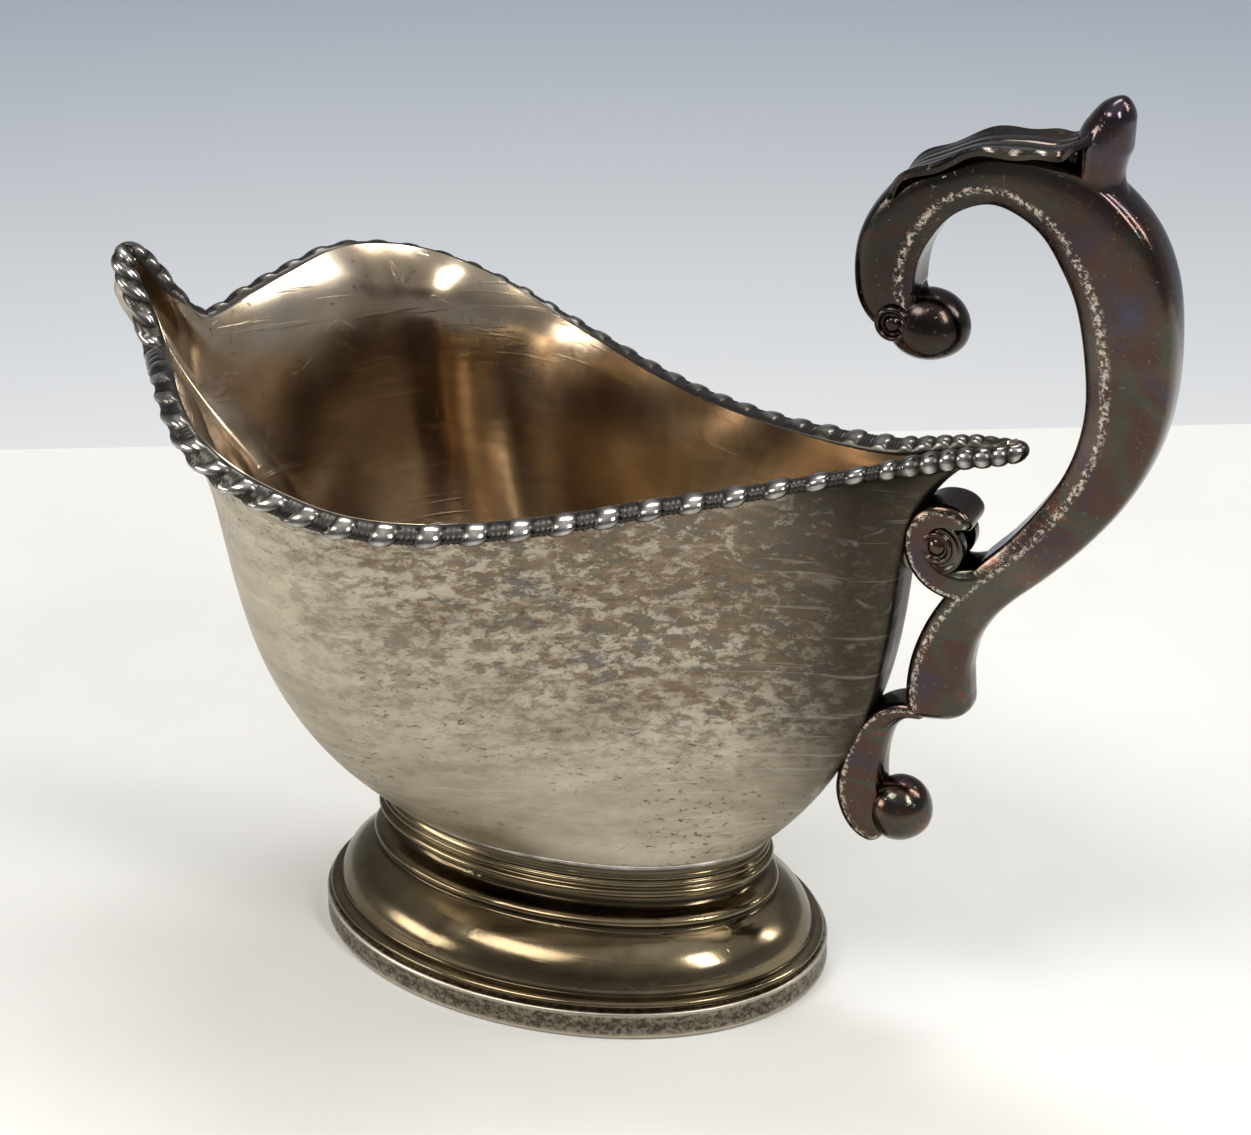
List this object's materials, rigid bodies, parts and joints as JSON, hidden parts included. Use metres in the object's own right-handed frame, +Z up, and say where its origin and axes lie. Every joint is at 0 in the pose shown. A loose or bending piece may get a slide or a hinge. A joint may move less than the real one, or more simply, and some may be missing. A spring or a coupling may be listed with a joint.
{
  "type": "sauce boat",
  "caption": "Oval sauce boat with a pinched pouring lip, gadroon rim, stepped oval foot and a flying scroll handle with a leaf thumb rest",
  "frame": {"origin": "middle of the oval ring that the foot stands on, at the level of the surface under it", "axes": "+X towards the handle, +Y to the left of someone holding the handle and pouring, +Z up; the boat is symmetrical about the XZ plane"},
  "size_m": [0.1854, 0.0974, 0.1663],
  "materials": {
    "plate_silver": "tarnished silver plate, polished under fine scratches",
    "gadroon_silver": "silver with dark oxide in the recesses",
    "foot_silver": "olive-brown tarnished silver plate",
    "handle_silver": "dark iridescent tarnish worn bright along the edges",
    "solder": "dull grey solder"
  },
  "bodies": {
    "root": {"bowl": "plate_silver", "border_left": "gadroon_silver", "border_right": "gadroon_silver", "foot_collar": "foot_silver", "foot_pedestal": "foot_silver", "foot_rim": "foot_silver", "handle_main_scroll": "handle_silver", "handle_top_knob": "handle_silver", "handle_leaf": "handle_silver", "handle_thumb_horn": "handle_silver", "handle_upper_volute": "handle_silver", "handle_s_scroll": "handle_silver", "handle_lower_scroll": "handle_silver", "handle_lower_ball": "handle_silver", "top_rosettes": "handle_silver", "volute_rosettes": "handle_silver", "solder_upper": "solder", "solder_lower": "solder", "solder_foot": "solder"}
  },
  "joints": []
}
